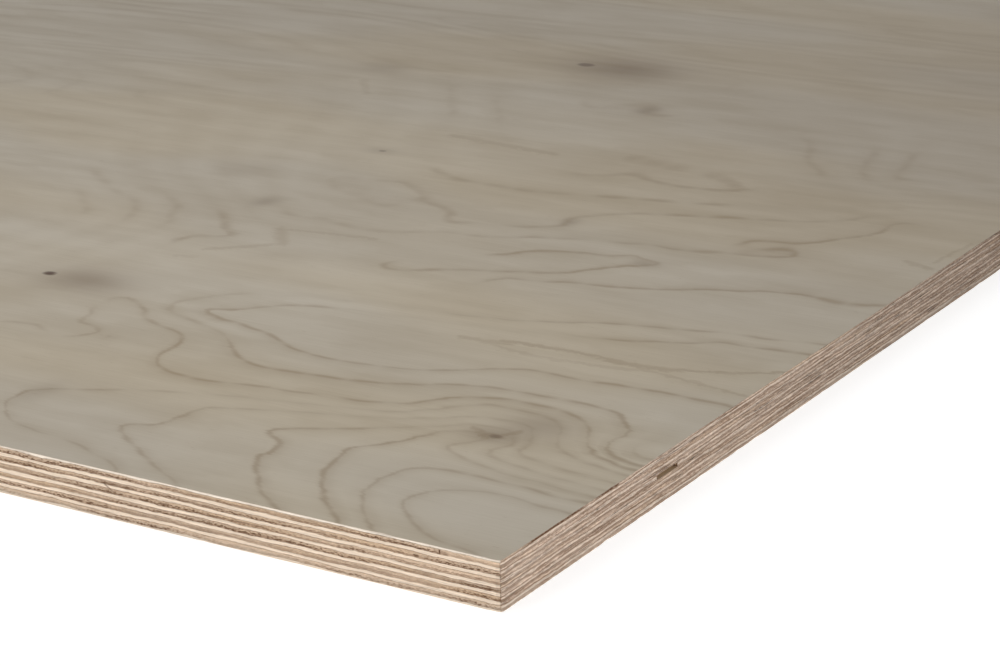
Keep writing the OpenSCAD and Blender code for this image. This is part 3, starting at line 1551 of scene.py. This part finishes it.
@dataclass
class Sheet:
    """The whole sheet: thirteen veneers and the finishes they share."""

    knot_hole: KnotHole = KnotHole(0.109, 0.016, 0.003)
    knot_ply: int = 6
    arris: float = 0.18 * MM
    face_columns: Columns = Columns((84, 60, 34, 24, 8, 8, 8, 8, 8, 8, 8, 8), (84, 60, 42, 24, 10, 8))
    veneers: list[Veneer] = field(default_factory=list, init=False)

    def __post_init__(self) -> None:
        """Reads the veneers' places from the frame, the back first."""
        nodes = sorted(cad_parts, key=lambda node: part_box(node)[0].z)
        for place, node in enumerate(nodes):
            low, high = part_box(node)
            number = len(nodes) - place
            role = {1: Role.FACE, len(nodes): Role.BACK}.get(number)
            role = role or (Role.LONG if number % 2 else Role.CROSSBAND)
            made = Veneer(node, role, number, low, high)
            if made.is_outer:
                made.arris = self.arris
            if role is Role.FACE:
                made.columns = self.face_columns
                made.rings = RingMap()
            if number == self.knot_ply:
                made.hole = self.knot_hole
            self.veneers.append(made)

    def face_finish(self) -> FaceFinish:
        """The face's figure, with the knots and patches of the near corner placed one by one.

        Returns:
            The finish of the face veneer's outer side.
        """
        low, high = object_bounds()
        knots = (
            Knot(0.059, 0.092, 0.0020, 0.40, 0.42, 0.007, 0.002),
            Knot(0.320, 0.162, 0.0024, 0.95, 0.62, 0.014, -0.020),
            Knot(0.304, 0.576, 0.0034, 0.60, 0.62, 0.022, -0.024),
            Knot(0.304, 0.385, 0.0014, 0.4, 0.25, 0.006, 0.0),
            Knot(1.31, 0.83, 0.0035, 0.9, 0.32, 0.015),
            Knot(1.98, 0.27, 0.0030, 0.9, 0.30, 0.014),
            Knot(0.93, 0.20, 0.0022, 0.9, 0.28, 0.012),
        )
        blots = (
            Blot(0.303, 0.290, 0.006, 0.008, 0.40),
            Blot(0.230, 0.509, 0.006, 0.008, 0.40),
            Blot(0.343, 0.328, 0.016, 0.012, 0.16),
            Blot(0.395, 0.522, 0.016, 0.012, 0.22),
            Blot(0.110, 0.291, 0.007, 0.005, 0.30),
            Blot(0.167, 0.327, 0.004, 0.007, 0.35),
            Blot(0.051, 0.107, 0.014, 0.013, 0.40),
            # These two broad patches are painted shade: they darken the far side of the face, where the
            # light falls off.
            Blot(0.450, 0.660, 0.360, 0.230, 0.18),
            Blot(0.030, 0.680, 0.190, 0.350, 0.29),
            Blot(0.340, 0.280, 0.110, 0.090, 0.08),
            Blot(0.200, 0.000, 0.060, 0.050, 0.12),
            Blot(0.065, 0.331, 0.010, 0.010, 0.10),
            Blot(0.230, 0.050, 0.006, 0.012, 0.22),
        )
        return FaceFinish(
            "face_figure",
            seed=2.0,
            length=high.x - low.x,
            width=high.y - low.y,
            drawn=True,
            knots=knots,
            blots=blots,
            streaks=NEAR_CORNER_STREAKS,
        )

    def back_finish(self) -> FaceFinish:
        """The back's figure, a little warmer.

        Returns:
            The finish of the back veneer's outer side.
        """
        low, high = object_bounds()
        knots = (
            Knot(0.71, 0.41, 0.0040, 0.9, 0.30, 0.016),
            Knot(1.62, 0.83, 0.0035, 0.9, 0.28, 0.015),
            Knot(2.11, 0.33, 0.0025, 0.8, 0.25, 0.012),
        )
        return FaceFinish(
            "back_figure",
            seed=41.0,
            length=high.x - low.x,
            width=high.y - low.y,
            pale=(0.74, 0.64, 0.505),
            deep=(0.62, 0.515, 0.38),
            knots=knots,
        )

    def edge_finish(self) -> EdgeFinish:
        """The sawn edge's bands, from the veneers' heights.

        Returns:
            The one finish that all the sawn edges share.
        """
        low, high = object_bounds()
        back, band, above = self.veneers[0], self.veneers[1], self.veneers[2]
        marks = (
            Mark(Side.FRONT, 0.0230, 0.01635, 0.00035, 0.0008, 0.8),
            Mark(Side.FRONT, 0.0225, 0.01635, 0.0030, 0.0008, 0.22),
            Mark(Side.FRONT, 0.1585, 0.0119, 0.0007, 0.0017, 0.6, -1.6),
            Mark(Side.FRONT, 0.1540, 0.0133, 0.0080, 0.0005, 0.45),
            Mark(Side.FRONT, 0.0980, 0.0104, 0.0070, 0.0003, 0.6),
            Mark(Side.FRONT, 0.1340, 0.0104, 0.0020, 0.0003, 0.6),
            Mark(Side.FRONT, 0.0320, 0.0132, 0.0012, 0.0003, 0.8),
            Mark(Side.SHORT, 0.0345, 0.0177, 0.0190, 0.0005, 1.1),
            Mark(Side.SHORT, 0.0680, 0.0177, 0.0085, 0.0004, 1.0),
            Mark(Side.FRONT, 0.0002, 0.0090, 0.0004, 0.0085, 0.8),
            Mark(Side.SHORT, 0.0560, 0.0061, 0.0200, 0.0007, 0.45),
        )
        return EdgeFinish(
            "sawn_edge",
            length=high.x - low.x,
            width=high.y - low.y,
            thickness=high.z - low.z,
            outer=back.high.z - back.low.z,
            crossband=band.high.z - band.low.z,
            pitch=above.high.z - band.low.z,
            marks=marks,
        )

    def build(self) -> None:
        """Builds every veneer."""
        edge = self.edge_finish().material()
        glue = GlueFinish().material()
        figures = {
            Role.FACE: self.face_finish().material(),
            Role.BACK: self.back_finish().material(),
        }
        for veneer in self.veneers:
            veneer.build(edge, glue, figures.get(veneer.role, glue))
            log.info("%s: %d faces", veneer.piece.name, len(veneer.piece.data.polygons))


# ---------------------------------------------------------------------- studio


@dataclass(frozen=True)
class Softbox:
    """A rectangular lamp. It stands at place and faces aim, both from the near corner's foot."""

    name: str
    place: tuple[float, float, float]
    aim: tuple[float, float, float]
    size: tuple[float, float]
    watts: float

    def build(self, corner: Vector) -> None:
        """Adds the lamp.

        Args:
            corner: The near corner at floor level.
        """
        light = bpy.data.lights.new(self.name, "AREA")
        light.shape = "RECTANGLE"
        light.size = self.size[0]
        light.size_y = self.size[1]
        light.energy = self.watts
        lamp = bpy.data.objects.new(self.name, light)
        lamp.location = corner + Vector(self.place)
        facing = Vector(self.aim) - Vector(self.place)
        lamp.rotation_euler = facing.to_track_quat("-Z", "Y").to_euler()
        lamp.visible_camera = False
        bpy.context.scene.collection.objects.link(lamp)


SOFTBOXES = (
    Softbox("front_softbox", (-1.2, -2.4, 0.9), (-0.3, 0.1, 0.0), (1.4, 1.4), 21.0),
    Softbox("top_softbox", (-0.27, 0.14, 0.5), (-0.27, 0.141, 0.0), (0.3, 0.3), 0.36),
    Softbox("strip_light", (0.30, 0.01, 0.010), (0.0, 0.07, 0.009), (0.2, 0.03), 0.66),
)


@dataclass
class Studio:
    """The pale floor, the soft light and the camera.

    The tent's light is horizon low down all round and overhead above, less dimming to the right.
    The camera's stand is from the near corner's foot, and its angles are in degrees.
    """

    floor_size: float = 60.0
    floor_grey: float = 0.6
    floor_glow: float = 0.76
    horizon: float = 0.98
    overhead: float = 0.475
    dimming: float = 0.40
    softboxes: tuple[Softbox, ...] = SOFTBOXES
    lens: float = 105.3
    sensor: float = 36.0
    far_clip: float = 200.0
    azimuth: float = 32.14
    elevation: float = 19.01
    roll: float = 1.11
    stand: Vector = field(default_factory=lambda: Vector((0.4515, -0.7164, 0.3857)))

    def floor(self) -> None:
        """Lays a near-white floor under the sheet."""
        shape = bmesh.new()
        bmesh.ops.create_grid(shape, x_segments=1, y_segments=1, size=self.floor_size / 2)
        mesh = bpy.data.meshes.new("floor")
        shape.to_mesh(mesh)
        shape.free()
        floor = bpy.data.objects.new("floor", mesh)
        bpy.context.scene.collection.objects.link(floor)
        tree = Surface("floor_white")
        tree.shader.inputs["Emission Color"].default_value = (1.0, 1.0, 1.0, 1.0)
        tree.shader.inputs["Emission Strength"].default_value = self.floor_glow
        mesh.materials.append(tree.finish((self.floor_grey,) * 3, 0.9, specular=0.1))
        floor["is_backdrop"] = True

    def sky(self) -> None:
        """A soft light tent: white at the horizon, dimmer overhead and dim to the right."""
        world = bpy.data.worlds.new("tent")
        bpy.context.scene.world = world
        world.use_nodes = True
        tree = Tree(world.node_tree)
        output = tree.node("ShaderNodeOutputWorld")
        x, _, z = tree.split(tree.node("ShaderNodeTexCoord").outputs["Generated"])
        right = tree.smooth(x, -0.1, 0.7)
        overhead = self.overhead - self.dimming * right
        bright = overhead + (self.horizon - overhead) * tree.smooth(z, 0.18, 0.10)
        grey = tree.vector(bright, bright, bright)
        background = tree.node("ShaderNodeBackground", None, {"Color": grey, "Strength": 1.0})
        tree.links.new(background.outputs[0], output.inputs[0])

    def camera(self, corner: Vector) -> None:
        """Stands the camera off the near corner and turns it.

        Args:
            corner: The near corner at floor level.
        """
        data = bpy.data.cameras.new("camera")
        data.lens = self.lens
        data.sensor_width = self.sensor
        data.clip_end = self.far_clip
        camera = bpy.data.objects.new("camera", data)
        turn = (
            Matrix.Rotation(math.radians(self.azimuth), 4, "Z")
            @ Matrix.Rotation(math.radians(90 - self.elevation), 4, "X")
            @ Matrix.Rotation(math.radians(-self.roll), 4, "Z")
        )
        camera.matrix_world = Matrix.Translation(corner + self.stand) @ turn
        bpy.context.scene.collection.objects.link(camera)
        bpy.context.scene.camera = camera

    def build(self, corner: Vector) -> None:
        """Sets up the whole studio.

        Args:
            corner: The near corner at floor level.
        """
        self.camera(corner)
        self.floor()
        self.sky()
        for softbox in self.softboxes:
            softbox.build(corner)
        view = bpy.context.scene.view_settings
        view.view_transform = "Standard"
        view.look = "None"


def main() -> None:
    """Builds the studio and the sheet, which logs each veneer's face count."""
    logging.basicConfig(level=logging.INFO, format="%(name)s: %(message)s")
    low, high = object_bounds()
    studio = Studio()
    studio.build(Vector((high.x, low.y, low.z)))
    sheet = Sheet()
    sheet.build()


if __name__ == "__main__":
    main()
